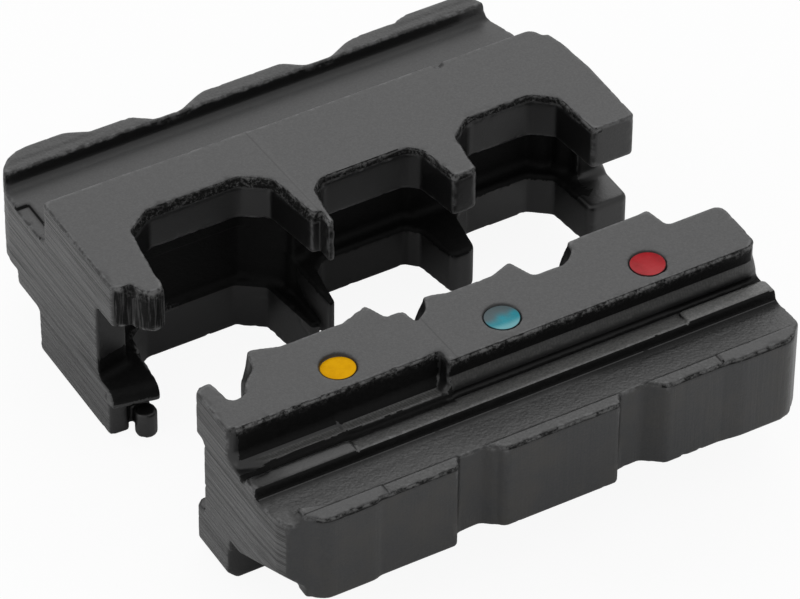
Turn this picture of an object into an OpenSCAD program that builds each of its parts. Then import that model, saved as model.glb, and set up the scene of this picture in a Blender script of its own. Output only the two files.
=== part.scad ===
// A matched pair of interchangeable crimping dies for insulated terminals.
// X runs along the dies, Y is the closing direction and Z is the thickness.
// The origin is at the middle of the pair's footprint, on the surface that it lies on.
// The nest die lies on the +Y side. The indenter die lies on the -Y side and closes along +Y.
// Every y value below is measured from the origin with the pair open.

/* [Body] */
// Length of both dies
die_length = 31.8; // [31.6:0.1:33]
// Thickness of both dies
die_height = 11.2; // [11:0.1:12]
// Place along X where the tall segment of each die meets the short one
step_x = -3.25; // [-3.45:0.05:-3.05]
// Thickness of the upper crimping flange
upper_flange = 2.85; // [2.4:0.05:3.2]
// Thickness of the lower crimping flange of the tall segment
tall_flange = 3.25; // [2.8:0.05:3.6]
// Thickness of the lower crimping flange of the short segment
short_flange = 2.75; // [2.4:0.05:3]
// Height at which the lower crimping flange of the short segment starts
short_base = 2.75; // [2.4:0.05:3]
// Depth that the waist between the flanges is cut in behind the crimping profile
undercut = 0.95; // [0.6:0.05:1.1]

/* [Foot] */
// Height of the underside of the foot
foot_base = 3.7; // [3.4:0.1:4]
// Height of the floor of the channel in the nest die's foot
foot_floor = 8.45; // [8:0.05:8.6]
// Height of the rim along the outer edge of the foot
foot_rim = 9.4; // [9.35:0.05:9.8]
// Width of the rim of the nest die
nest_rim_width = 1.1; // [0.9:0.1:1.4]
// Width of the flat rim of the indenter die, from which the floor slopes down
indenter_rim_width = 0.5; // [0.4:0.1:1.1]
// Lowest height of the sloped floor in the indenter die's foot
slope_floor = 8.55; // [8.4:0.05:8.7]
// Outer face of the nest die's foot
nest_foot_y = 16.5; // [16:0.1:17]
// Outer face of the indenter die's foot
indenter_foot_y = -16.85; // [-17.2:0.05:-16.5]
// Distance from the origin to the outer face of the pads on both feet
pad_face = 17; // [17:0.05:17.3]
// Width of each notch in the outer face of a foot
notch_width = 2.5; // [2:0.1:3]
// Depth of each notch
notch_depth = 0.8; // [0.5:0.05:1]

/* [Plates] */
// Back edge of the nest die's upper plate
nest_plate_y = 10.3; // [9.8:0.1:10.8]
// Front edge of the indenter die's upper plate on the tall segment
tall_plate_y = -10.4; // [-10.6:0.1:-10]
// Front edge of the indenter die's upper plate on the short segment
short_plate_y = -11.35; // [-11.5:0.05:-11]
// Height of the crest of the terrace in front of the indenter die's plate
crest_height = 9.32; // [9.2:0.02:9.34]
// Front edge of that terrace
terrace_y = -13.2; // [-13.4:0.1:-13]
// Height of the groove between the terrace and the plate, from which the terrace rises to its crest
groove_floor = 8.97; // [8.8:0.01:9.05]

/* [Yellow station, 4 to 6 square millimetres] */
// Place of the station along X
yellow_x = -8.45; // [-8.6:0.05:-8.3]
// Width of the nest at its mouth
yellow_mouth = 9.5; // [9.2:0.1:9.7]
// Width of the nest at its throat
yellow_throat = 8.4; // [8.2:0.1:8.6]
// Width of the flat floor of the nest
yellow_floor = 5.4; // [4.8:0.1:6]
// Place of the nest's floor along Y
yellow_floor_y = 7.05; // [6.6:0.05:7.1]
// Extra depth of the nest in the lower flange
yellow_relief = 0.6; // [0.3:0.1:0.7]
// Distance between the two horns of the indenter
yellow_horns = 7.2; // [7:0.1:7.4]
// Place of the horns along Y
yellow_horn_y = -5.25; // [-5.4:0.05:-5.1]
// Width of the flat between the horns
yellow_flat = 3.8; // [3.4:0.1:4.2]
// Place of that flat along Y
yellow_flat_y = -5.86; // [-6:0.02:-5.7]

/* [Blue station, 1.5 to 2.5 square millimetres] */
// Place of the station along X
blue_x = 0.8; // [0.7:0.05:0.9]
// Width of the nest at its mouth
blue_mouth = 7.4; // [7.2:0.1:7.5]
// Width of the nest at its throat
blue_throat = 6.5; // [6.3:0.1:6.7]
// Width of the flat floor of the nest
blue_floor = 5.2; // [4.8:0.1:5.4]
// Place of the nest's floor along Y
blue_floor_y = 4.75; // [4.5:0.05:4.8]
// Distance between the two horns of the indenter
blue_horns = 5.5; // [5.3:0.1:5.6]
// Place of the horns along Y
blue_horn_y = -5.98; // [-6.1:0.02:-5.9]
// Width of the flat between the horns
blue_flat = 2.8; // [2.4:0.1:3]
// Place of that flat along Y
blue_flat_y = -6.48; // [-6.6:0.02:-6.3]

/* [Red station, 0.5 to 1.5 square millimetres] */
// Place of the station along X
red_x = 9.6; // [9.5:0.05:9.7]
// Width of the nest at its mouth
red_mouth = 6.9; // [6.7:0.1:7]
// Width of the nest at its throat
red_throat = 6.3; // [6:0.1:6.4]
// Width of the flat floor of the nest
red_floor = 3.9; // [3.6:0.1:4.4]
// Place of the nest's floor along Y
red_floor_y = 5.25; // [5:0.05:5.3]
// Distance between the two horns of the indenter
red_horns = 5.2; // [5:0.1:5.3]
// Place of the horns along Y
red_horn_y = -5.95; // [-6.1:0.05:-5.9]
// Width of the flat between the horns
red_flat = 4; // [3.6:0.1:4.2]
// Place of that flat along Y
red_flat_y = -6.08; // [-6.2:0.02:-6]

/* [Stop faces] */
// Front of the nest die's left shoulder
nest_shoulder_y = 2.2; // [2:0.1:2.4]
// Front of the guide nose that stands out from that shoulder
nose_y = 1; // [0.9:0.1:1.2]
// Diameter of the guide pin at the foot of that shoulder
guide_pin = 1.24; // [1:0.04:1.3]
// Height of the guide pin
guide_pin_height = 1.65; // [1.4:0.05:1.9]
// Front of the nest die's pillar on the tall segment
tall_pillar_y = 2.4; // [2.2:0.1:2.6]
// Front of the nest die's pillars on the short segment
short_pillar_y = 1.4; // [1.3:0.05:1.5]
// Front of the nest die's right shoulder
right_shoulder_y = 1.05; // [0.95:0.05:1.2]
// Front of the indenter die's shoulders on the tall segment
indenter_shoulder_y = -6.57; // [-6.7:0.01:-6.5]
// Bottom of the valleys between the indenters
valley_y = -7.55; // [-7.7:0.05:-7.4]

/* [Marks] */
// Diameter of the round recess of each colour mark
mark_diameter = 2; // [1.6:0.1:2.2]
// Depth of the recess
mark_recess = 0.25; // [0.2:0.05:0.4]
// Thickness of the paint in the recess
mark_paint = 0.17; // [0.1:0.01:0.19]

/* [Hidden] */
$fn = 48;
right_x = die_length / 2;
left_x = -right_x;
beyond = 20;
overlap = 0.1;
outside = 1;
corner_steps = 4;
upper_base = die_height - upper_flange;
steel = [0.16, 0.16, 0.17];

// Nest die: walls that are not part of a flange
core_front_y = 8;
core_back_y = 11.3;
waist_end_y = 4.3;
waist_end_width = 2.8;
waist_middle_y = 5.4;
ledge_height = 2.85;
ledge_y = 13.85;
nose_x = [-14.9, -13.3];
nose_radius = [0.6, 0.35];
pin_at = [-14, 2.5];
pin_neck = 0.8;
lip_y = 2.4;
lip_end = -13.34;
lip_height = 1.05;
block_y = 3;
block_end = -14.72;
recess_y = 3.4;
shoulder_lead = [0.45, 0.3];
right_inset = [0.1, 0.4, 1.2];
right_taper_y = [6, 9];
mouth_lead = 0.2;

// Indenter die: walls that are not part of a flange
keel_tall_y = -10.1;
keel_short_y = -12;
keel_height = 3.45;
slope_y = -12.8;
waist_tip_y = -7.65;
waist_tip_width = 1.15;
waist_y = -8.9;
plate_break = [9.4, 10.15];
plate_lean = [0.15, 0.25];
band_foot = [9.1, 9.3];
crest_fall = 0.2;
groove_front_y = -11.84;
slope_end_y = -14.03;
bevel = 0.2;
end_bevel = 0.5;
end_bevel_height = 0.85;

// Places of the notches and pads along X, and of the marks on the plate
nest_notches = [-5.15, 4.35];
indenter_notches = [-4.5, 5.3];
nest_ramp = 0.9;
indenter_ramp = 0.35;
notch_wall = 0.2;
notch_slope = 0.7;
pad_ramp = 0.9;
small_pad_rise = 0.2;
nest_pad = [left_x - outside, -10.2];
nest_small_pad = [9.2, right_x + outside];
indenter_pads = [[left_x - outside, -9.3], [9.9, right_x + outside]];
nest_corner = [2.4, 2.8];
indenter_corner = 2.2;
foot_facet_x = [0.85, 2.3];
foot_facet_y = [2.1, 0.65];
rails = [[left_x, -9.6], [10.45, right_x]];
rail_y = [-12.1, -13.05];
rail_height = 9.35;
ridges = [[-15.2, step_x, 1.1, 9.17], [-9.6, step_x, 1.2, 9.25]];
ridge_round = 0.45;
hook_x = [1.05, 1.3, 2.05];
hook_y = -8.35;
yellow_flank = 0.5;
blue_flank = 0.6;
red_flank = [1.1, 0.3];
step_bevel = 0.1;
yellow_mark_at = [yellow_x, -8.76];
blue_mark_at = [0.98, -9.62];
red_mark_at = [9.91, -9.76];

// Points of the arc that rounds the corner p between a and b with radius r
function corner(a, p, b, r) =
    let (
        u = (a - p) / norm(a - p),
        v = (b - p) / norm(b - p),
        half = acos(u * v) / 2,
        reach = r / tan(half),
        middle = p + (u + v) / norm(u + v) * r / sin(half),
        start = p + u * reach - middle,
        end = p + v * reach - middle,
        turn = atan2(start.x * end.y - start.y * end.x, start * end)
    )
    [for (i = [0 : corner_steps])
        let (angle = turn * i / corner_steps)
        middle + [start.x * cos(angle) - start.y * sin(angle), start.x * sin(angle) + start.y * cos(angle)]];

// Outline through points [x, y, radius]
function rounded(points) =
    let (count = len(points), flat = [for (p = points) [p.x, p.y]])
    [for (i = [0 : count - 1])
        each points[i].z > 0
            ? corner(flat[(i + count - 1) % count], flat[i], flat[(i + 1) % count], points[i].z)
            : [flat[i]]];

// Distance from the floor of each nest to its throat corners
yellow_corner = 1.05;
blue_corner = 0.65;
red_corner = 0.95;

// Wall of one nest from its left mouth to its right mouth, cut larger by grow and deeper by relief
function nest_wall(x, mouth, mouth_y, throat, throat_y, floor_width, floor_y, grow = 0, relief = 0) =
    let (half = [mouth, throat, floor_width] / 2, side_y = throat_y + relief, end_y = floor_y + relief + grow)
    [
        [x - half[0] - grow, mouth_y, 0],
        [x - half[1] - grow, side_y, 0.3],
        [x - half[2] - grow / 2, end_y, 0.4],
        [x + half[2] + grow / 2, end_y, 0.4],
        [x + half[1] + grow, side_y, 0.3],
        [x + half[0] + grow, mouth_y, 0]
    ];
function yellow_nest(mouth_y, grow = 0, relief = 0) =
    nest_wall(yellow_x, yellow_mouth, mouth_y, yellow_throat, yellow_floor_y - yellow_corner,
        yellow_floor, yellow_floor_y, grow, relief);
function blue_nest(mouth_y, grow = 0) =
    nest_wall(blue_x, blue_mouth, mouth_y, blue_throat, blue_floor_y - blue_corner,
        blue_floor, blue_floor_y, grow);
function red_nest(mouth_y, grow = 0) =
    nest_wall(red_x, red_mouth, mouth_y, red_throat, red_floor_y - red_corner,
        red_floor, red_floor_y, grow);

// Left shoulder of the upper flange with the guide nose
function upper_shoulder() = [
    [left_x, nest_plate_y, 0.5],
    [left_x, nest_shoulder_y + shoulder_lead.y, 0],
    [left_x + shoulder_lead.x, nest_shoulder_y, 0],
    [nose_x[0], nest_shoulder_y, 0.1],
    [nose_x[0], nose_y, nose_radius[0]],
    [nose_x[1], nose_y, nose_radius[1]]
];

// Left shoulder of the lower flange, set back behind the guide pin
function lower_shoulder() = [
    [left_x, nest_plate_y, 0.5],
    [left_x, block_y, 0.1],
    [block_end, block_y, 0.15],
    [block_end, recess_y, 0]
];

// Outline of the nest die's crimping flanges, seen from above
module nest_outline(shoulder, mouth_y, relief = 0) {
    polygon(rounded(concat(
        shoulder,
        yellow_nest(mouth_y, 0, relief),
        [
            [yellow_x + yellow_mouth / 2, tall_pillar_y, 0.15],
            [step_x, tall_pillar_y, 0],
            [step_x, short_pillar_y, 0.1]
        ],
        blue_nest(short_pillar_y + mouth_lead),
        red_nest(short_pillar_y + mouth_lead),
        [
            [red_x + red_mouth / 2 + mouth_lead, right_shoulder_y, 0.25],
            [right_x - right_inset[0], right_shoulder_y, 0.2],
            [right_x - right_inset[0], right_taper_y[0], 0],
            [right_x - right_inset[1], right_taper_y[1], 0.6],
            [right_x - right_inset[2], nest_plate_y, 0.6]
        ]
    )));
}

// Outline of the waist between the nest die's flanges
module nest_waist_outline() {
    difference() {
        union() {
            translate([left_x, waist_middle_y])
                square([die_length, core_front_y + overlap - waist_middle_y]);
            for (x = [left_x, right_x - waist_end_width])
                translate([x, waist_end_y])
                    square([waist_end_width, core_front_y + overlap - waist_end_y]);
        }
        polygon(rounded(yellow_nest(0, undercut)));
        polygon(rounded(blue_nest(0, undercut)));
        polygon(rounded(red_nest(0, undercut)));
    }
}

// Section of the nest die's core and foot, drawn across Y and Z
module nest_core_section() {
    polygon(rounded([
        [core_front_y, 0, 0],
        [core_back_y, 0, 0],
        [core_back_y, ledge_height, 0],
        [ledge_y, ledge_height, 0.2],
        [ledge_y, foot_base, 0],
        [nest_foot_y, foot_base, 0.3],
        [nest_foot_y, foot_rim, 0.15],
        [nest_foot_y - nest_rim_width, foot_rim, 0.15],
        [nest_foot_y - nest_rim_width, foot_floor, 0.2],
        [nest_plate_y, foot_floor, 0.25],
        [nest_plate_y, die_height, 0.1],
        [core_front_y, die_height, 0]
    ]));
}

// Section of the indenter die's core and foot: side 0 is the tall segment and side 1 the short one
module indenter_core_section(plate_y, keel_y, side) {
    polygon(rounded([
        [waist_y, 0, 0],
        [keel_y, 0, 0.1],
        [keel_y - bevel, keel_height, 0],
        [slope_y, keel_height, 0],
        [slope_y - bevel, foot_base, 0],
        [indenter_foot_y, foot_base, 0.3],
        [indenter_foot_y, foot_rim, 0.15],
        [indenter_foot_y + indenter_rim_width, foot_rim, 0],
        [slope_end_y, slope_floor, 0.5],
        [terrace_y - crest_fall, slope_floor, 0.15],
        [terrace_y, crest_height, 0.08],
        [groove_front_y, groove_floor, 0],
        [plate_y - plate_lean[side], groove_floor, 0],
        [plate_y - plate_lean[side], band_foot[side], 0],
        [plate_y, plate_break[side], 0],
        [plate_y, die_height, 0.1],
        [waist_y, die_height, 0]
    ]));
}

// Solid that runs along X with the drawn section, from one place to another
module along_x(from, to) {
    translate([from, 0, 0])
        rotate([90, 0, 90])
            linear_extrude(to - from)
                children();
}

// Solid between the flanges with the drawn outline, let into both flanges
module waist() {
    translate([0, 0, tall_flange - overlap])
        linear_extrude(upper_base - tall_flange + 2 * overlap)
            children();
}

// Everything of a drawn outline on the tall or the short side of the step
module tall_side() {
    intersection() {
        children();
        translate([left_x - outside, -beyond])
            square([step_x - left_x + outside, 2 * beyond]);
    }
}
module short_side() {
    intersection() {
        children();
        translate([step_x, -beyond])
            square([right_x - step_x + outside, 2 * beyond]);
    }
}

// Raised pad with slanted ends on the outer face of a foot
module pad(span, from_y, to_y) {
    translate([0, 0, foot_base])
        linear_extrude(foot_rim - foot_base)
            polygon([
                [span[0], from_y],
                [span[0] + pad_ramp, to_y],
                [span[1] - pad_ramp, to_y],
                [span[1], from_y]
            ]);
}

// Cutter for a notch in a foot, with a steeper wall on its left than on its right
module notch(x, ramp, face_y, inward) {
    cut_y = face_y + inward * notch_depth;
    outer_y = face_y - inward;
    translate([x, 0, 0])
        linear_extrude(die_height)
            polygon([
                [-notch_width / 2 - ramp, outer_y],
                [-notch_width / 2 - ramp, face_y],
                [-notch_width / 2 + notch_wall, cut_y],
                [notch_width / 2 - notch_slope, cut_y],
                [notch_width / 2 + ramp, face_y],
                [notch_width / 2 + ramp, outer_y]
            ]);
}

module nest_die() {
    color(steel)
        union() {
            translate([0, 0, upper_base])
                linear_extrude(upper_flange)
                    nest_outline(upper_shoulder(), nest_shoulder_y);
            linear_extrude(tall_flange)
                tall_side()
                    nest_outline(lower_shoulder(), recess_y, yellow_relief);
            translate([0, 0, short_base])
                linear_extrude(short_flange)
                    short_side()
                        nest_outline(upper_shoulder(), nest_shoulder_y);
            shoulder_lip();
            locating_pin();
            waist()
                nest_waist_outline();
            nest_core();
        }
}

// Lip with a rounded front above the guide pin
module shoulder_lip() {
    along_x(left_x, lip_end)
        polygon(rounded([
            [block_y + overlap, tall_flange - lip_height, 0],
            [lip_y, tall_flange - lip_height, 0.2],
            [lip_y, tall_flange, 0.7],
            [waist_end_y, tall_flange, 0],
            [waist_end_y, tall_flange - lip_height, 0]
        ]));
}

// Guide pin, formed in one body with the shoulder behind it
module locating_pin() {
    translate([pin_at.x, pin_at.y, 0])
        cylinder(d = guide_pin, h = guide_pin_height);
    translate([pin_at.x - pin_neck / 2, pin_at.y, 0])
        cube([pin_neck, recess_y + overlap - pin_at.y, guide_pin_height - pin_neck / 2]);
}
module nest_core() {
    intersection() {
        difference() {
            union() {
                along_x(left_x, right_x)
                    nest_core_section();
                pad(nest_pad, nest_foot_y, pad_face);
                pad(nest_small_pad, nest_foot_y, nest_foot_y + small_pad_rise);
            }
            for (x = nest_notches)
                notch(x, nest_ramp, nest_foot_y, -1);
        }
        linear_extrude(die_height)
            polygon(rounded([
                [left_x, 0, 0],
                [right_x - right_inset[0], 0, 0],
                [right_x - right_inset[0], right_taper_y[0], 0],
                [right_x - right_inset[1], pad_face, nest_corner[1]],
                [left_x, pad_face, nest_corner[0]]
            ]));
    }
}

// Outline of the indenter die's crimping flanges, seen from above
module indenter_outline(plate_y) {
    polygon(rounded([
        [left_x, plate_y, 0.6],
        [left_x, indenter_shoulder_y - shoulder_lead.y, 0],
        [left_x + shoulder_lead.x, indenter_shoulder_y, 0.15],
        [left_x + hook_x[0], indenter_shoulder_y, 0.15],
        [left_x + hook_x[1], hook_y, 0.25],
        [left_x + hook_x[2], hook_y, 0.3],
        [yellow_x - yellow_horns / 2, yellow_horn_y, 0.35],
        [yellow_x - yellow_flat / 2, yellow_flat_y, 0.5],
        [yellow_x + yellow_flat / 2, yellow_flat_y, 0.5],
        [yellow_x + yellow_horns / 2, yellow_horn_y, 0.2],
        [yellow_x + yellow_horns / 2 + yellow_flank, indenter_shoulder_y, 0.15],
        [step_x + step_bevel, indenter_shoulder_y, 0.25],
        [step_x + 2 * step_bevel, valley_y, 0],
        [blue_x - blue_horns / 2, blue_horn_y, 0.15],
        [blue_x - blue_flat / 2, blue_flat_y, 0.4],
        [blue_x + blue_flat / 2, blue_flat_y, 0.4],
        [blue_x + blue_horns / 2, blue_horn_y, 0.15],
        [blue_x + blue_horns / 2 + blue_flank, valley_y, 0.2],
        [red_x - red_horns / 2 - red_flank[0], valley_y, 0.2],
        [red_x - red_horns / 2, red_horn_y, 0.15],
        [red_x - red_flat / 2, red_flat_y, 0.3],
        [red_x + red_flat / 2, red_flat_y, 0.3],
        [red_x + red_horns / 2, red_horn_y, 0.2],
        [red_x + red_horns / 2 + red_flank[1], valley_y, 0.2],
        [right_x, valley_y, 0.5],
        [right_x, plate_y, 0.7]
    ]));
}

// Outline of the waist between the indenter die's flanges
module indenter_waist_outline() {
    translate([left_x, tall_plate_y])
        square([die_length, waist_y - tall_plate_y]);
    translate([left_x, tall_plate_y])
        square([waist_tip_width, waist_tip_y - tall_plate_y]);
}

module mark_places() {
    for (place = [yellow_mark_at, blue_mark_at, red_mark_at])
        translate([place.x, place.y, 0])
            children();
}

module indenter_die() {
    color(steel)
        difference() {
            union() {
                indenter_flanges();
                indenter_core();
            }
            translate([0, 0, die_height - mark_recess])
                mark_places()
                    cylinder(d = mark_diameter, h = mark_recess + outside);
            lower_left_bevel();
        }
}
module indenter_flanges() {
    translate([0, 0, upper_base])
        linear_extrude(upper_flange)
            indenter_outline(tall_plate_y);
    linear_extrude(tall_flange)
        tall_side()
            indenter_outline(keel_tall_y);
    translate([0, 0, short_base])
        linear_extrude(short_flange)
            short_side()
                indenter_outline(keel_tall_y);
    waist()
        indenter_waist_outline();
}
module indenter_core() {
    intersection() {
        difference() {
            union() {
                along_x(left_x, step_x)
                    indenter_core_section(tall_plate_y, keel_tall_y, 0);
                along_x(step_x, right_x)
                    indenter_core_section(short_plate_y, keel_short_y, 1);
                for (span = rails)
                    rail(span);
                for (size = ridges)
                    ridge(size);
                for (span = indenter_pads)
                    pad(span, indenter_foot_y, -pad_face);
            }
            for (x = indenter_notches)
                notch(x, indenter_ramp, indenter_foot_y, 1);
        }
        linear_extrude(die_height)
            polygon(rounded([
                [left_x, 0, 0],
                [left_x, -pad_face + foot_facet_y[0], 0.5],
                [left_x + foot_facet_x[0], -pad_face + foot_facet_y[1], 0.6],
                [left_x + foot_facet_x[1], -pad_face, 0.8],
                [right_x, -pad_face, indenter_corner],
                [right_x, 0, 0]
            ]));
    }
}

// Flat rail on the terrace, from one place along X to another
module rail(span) {
    translate([span[0], rail_y[1], slope_floor])
        cube([span[1] - span[0], rail_y[0] - rail_y[1], rail_height - slope_floor]);
}

// Ridge at the foot of the tall segment's plate: from and to along X, width and height
module ridge(size) {
    front_y = tall_plate_y - size[2];
    translate([0, 0, slope_floor])
        linear_extrude(size[3] - slope_floor)
            polygon(rounded([
                [size[0], tall_plate_y, 0],
                [size[0], front_y, ridge_round],
                [size[1], front_y, 0],
                [size[1], tall_plate_y, 0]
            ]));
}
// Cutter for the bevel under the left end of the indenter die
module lower_left_bevel() {
    rotate([90, 0, 0])
        linear_extrude(2 * beyond, center = true)
            polygon([
                [left_x - outside, -outside],
                [left_x + end_bevel * (1 + outside / end_bevel_height), -outside],
                [left_x - outside, end_bevel_height * (1 + outside / end_bevel)]
            ]);
}

module mark(place, paint) {
    color(paint)
        translate([place.x, place.y, die_height - mark_recess])
            cylinder(d = mark_diameter, h = mark_paint);
}
module yellow_mark() {
    mark(yellow_mark_at, [0.93, 0.72, 0.08]);
}
module blue_mark() {
    mark(blue_mark_at, [0.16, 0.47, 0.6]);
}
module red_mark() {
    mark(red_mark_at, [0.8, 0.1, 0.12]);
}

nest_die();
indenter_die();
yellow_mark();
blue_mark();
red_mark();
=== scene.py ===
"""Looks of the crimping die set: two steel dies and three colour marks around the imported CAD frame.

Each die is a field of signed distances on a grid, in millimetres, built from the same outlines as
the CAD solids. The field is softened so that edges are worn and corners are filleted, meshed,
and then given its tool marks, torn rims and cast skin by moving the points of the mesh.
"""
import math
from functools import reduce

import bpy
import numpy as np
from mathutils import Matrix, Vector


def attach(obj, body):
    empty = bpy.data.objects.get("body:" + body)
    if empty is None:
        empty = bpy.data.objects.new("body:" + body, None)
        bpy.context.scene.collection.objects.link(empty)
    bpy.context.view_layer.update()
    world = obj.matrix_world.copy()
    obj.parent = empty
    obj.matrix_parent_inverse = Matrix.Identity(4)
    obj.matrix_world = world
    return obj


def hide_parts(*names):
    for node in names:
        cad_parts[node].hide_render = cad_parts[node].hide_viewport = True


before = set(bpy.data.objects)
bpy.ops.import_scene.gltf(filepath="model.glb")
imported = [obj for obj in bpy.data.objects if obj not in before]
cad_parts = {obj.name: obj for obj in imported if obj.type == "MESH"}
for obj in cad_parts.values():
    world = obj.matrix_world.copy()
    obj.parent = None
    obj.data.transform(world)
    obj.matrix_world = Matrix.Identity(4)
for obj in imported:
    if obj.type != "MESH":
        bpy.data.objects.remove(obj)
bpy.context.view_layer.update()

# Metres in a millimetre, pitch of the grid, passes of softening, triangles of a die, size of the noise,
# and limits that lie beyond the dies
MM = 0.001
PITCH = 0.09
SOFTENING, BROAD_SOFTENING = 1, 10
FACE_LIMIT = 190000
LATTICE = 32
FAR = 99
ANY = (-FAR, FAR)

# Both dies
LENGTH = 31.8
LEFT, RIGHT = -LENGTH / 2, LENGTH / 2
HEIGHT = 11.2
STEP_X = -3.25
UPPER_BASE = 8.35
TALL_TOP = 3.25
SHORT_BASE, SHORT_TOP = 2.75, 5.5
FOOT_BASE, FOOT_FLOOR, FOOT_RIM = 3.7, 8.45, 9.4
PAD_FACE = 17
WAIST_SPAN = (TALL_TOP - 0.6, UPPER_BASE + 0.6)

# Stations: place along X, widths of the nest, and the places where its throat and floor lie
YELLOW = {"x": -8.45, "mouth": 9.5, "throat": 8.4, "floor": 5.4, "floor_y": 7.05, "throat_y": 6.0}
BLUE = {"x": 0.8, "mouth": 7.4, "throat": 6.5, "floor": 5.2, "floor_y": 4.75, "throat_y": 4.1}
RED = {"x": 9.6, "mouth": 6.9, "throat": 6.3, "floor": 3.9, "floor_y": 5.25, "throat_y": 4.3}

# Cut of the waist behind the nests, and extra depth of the lower yellow nest
UNDERCUT = 0.95
RELIEF = 0.6


def smooth(t):
    """Smooth step from 0 at t = 0 to 1 at t = 1."""
    t = np.clip(t, 0, 1)
    return t * t * (3 - 2 * t)


def hill(t, width):
    """Smooth bump that is 1 at t = 0 and fades out over width."""
    return np.exp(-((t / width) ** 2))


def arc(a, p, b, radius, steps=5):
    """Points that round the corner p between a and b."""
    a, p, b = (np.array(q, float) for q in (a, p, b))
    u, v = (a - p) / np.linalg.norm(a - p), (b - p) / np.linalg.norm(b - p)
    half = math.acos(np.clip(u @ v, -1, 1)) / 2
    reach = radius / math.tan(half)
    middle = p + (u + v) / np.linalg.norm(u + v) * radius / math.sin(half)
    start, end = p + u * reach - middle, p + v * reach - middle
    turn = math.atan2(start[0] * end[1] - start[1] * end[0], start @ end)
    angles = turn * np.arange(steps + 1) / steps
    c, s = np.cos(angles), np.sin(angles)
    return [middle + (start[0] * i - start[1] * j, start[0] * j + start[1] * i) for i, j in zip(c, s)]


def rounded(points):
    """Points of a closed outline through corners (x, y) or (x, y, radius)."""
    flat = [p[:2] for p in points]
    result = []
    for i, p in enumerate(points):
        if len(p) == 3 and p[2] > 0:
            result += arc(flat[i - 1], flat[i], flat[(i + 1) % len(flat)], p[2])
        else:
            result.append(np.array(flat[i], float))
    return np.array(result)


def rectangle(x0, x1, y0, y1):
    """Corners of a rectangle."""
    return [(x0, y0), (x1, y0), (x1, y1), (x0, y1)]


def outline_distance(points, u, v):
    """Signed distance to a closed outline through the given corners, negative inside."""
    points = rounded(points)
    near = np.full(np.broadcast_shapes(u.shape, v.shape), 1e9, np.float32)
    inside = np.zeros(near.shape, bool)
    for (ax, ay), (bx, by) in zip(points, np.roll(points, -1, axis=0)):
        ex, ey = bx - ax, by - ay
        square = ex * ex + ey * ey
        if square < 1e-12:
            continue
        t = np.clip(((u - ax) * ex + (v - ay) * ey) / square, 0, 1)
        near = np.minimum(near, np.hypot(u - ax - t * ex, v - ay - t * ey))
        if ay != by:
            inside ^= ((ay > v) != (by > v)) & (u < ax + (v - ay) / ey * ex)
    return np.where(inside, -near, near).astype(np.float32)


def common(*fields):
    """Field of what lies inside all the given fields."""
    return reduce(np.maximum, fields)


def union(*fields):
    """Field of what lies inside any of the given fields."""
    return reduce(np.minimum, fields)


def join(a, b, radius):
    """Union of two fields with a fillet in the corner between them."""
    u, v = np.maximum(radius - a, 0), np.maximum(radius - b, 0)
    return np.maximum(radius, np.minimum(a, b)) - np.hypot(u, v)


def cut(a, b, radius):
    """Field a without field b, with a rounded edge between them."""
    u, v = np.maximum(radius + a, 0), np.maximum(radius - b, 0)
    return np.minimum(-radius, np.maximum(a, -b)) + np.hypot(u, v)


def add_object(name, data):
    """New object in the scene."""
    item = bpy.data.objects.new(name, data)
    bpy.context.scene.collection.objects.link(item)
    return item


def give(mesh, shares):
    """Stores shares on the points of a mesh: of each finish, of painted light and of painted shade."""
    for key, value in shares.items():
        mesh.attributes.new(key, "FLOAT", "POINT").data.foreach_set("value", value.astype(np.float32))


def vectors(items, key):
    """Vectors that the vertices or faces of a mesh have under a key."""
    values = np.zeros(len(items) * 3)
    items.foreach_get(key, values)
    return values.reshape(-1, 3)


class Grid:
    """Sample points in a box, in millimetres."""

    def __init__(self, low, high):
        self.low = np.array(low, float) - 4 * PITCH
        counts = np.ceil((np.array(high) + 4 * PITCH - self.low) / PITCH).astype(int) + 1
        axes = [(self.low[i] + PITCH * np.arange(counts[i])).astype(np.float32) for i in range(3)]
        self.x = axes[0][:, None, None]
        self.y = axes[1][None, :, None]
        self.z = axes[2][None, None, :]

    def plan(self, points):
        """Distance to an outline in X and Y."""
        return outline_distance(points, self.x, self.y)

    def section(self, points):
        """Distance to an outline in Y and Z."""
        return outline_distance(points, self.y, self.z)

    def layer(self, low, high):
        """Distance to the space between two heights."""
        return np.abs(self.z - (low + high) / 2) - (high - low) / 2

    def prism(self, points, low, high):
        """Drawn outline from one height to another."""
        return common(self.plan(points), self.layer(low, high))


def soften(field, times):
    """Averages a field with its neighbours, which rounds edges and leaves flat faces in place."""
    for _ in range(times):
        for axis in range(3):
            f = np.moveaxis(field, axis, 0)
            middle = f[1:-1] / 2 + (f[:-2] + f[2:]) / 4
            f[1:-1] = middle
    return field


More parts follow.
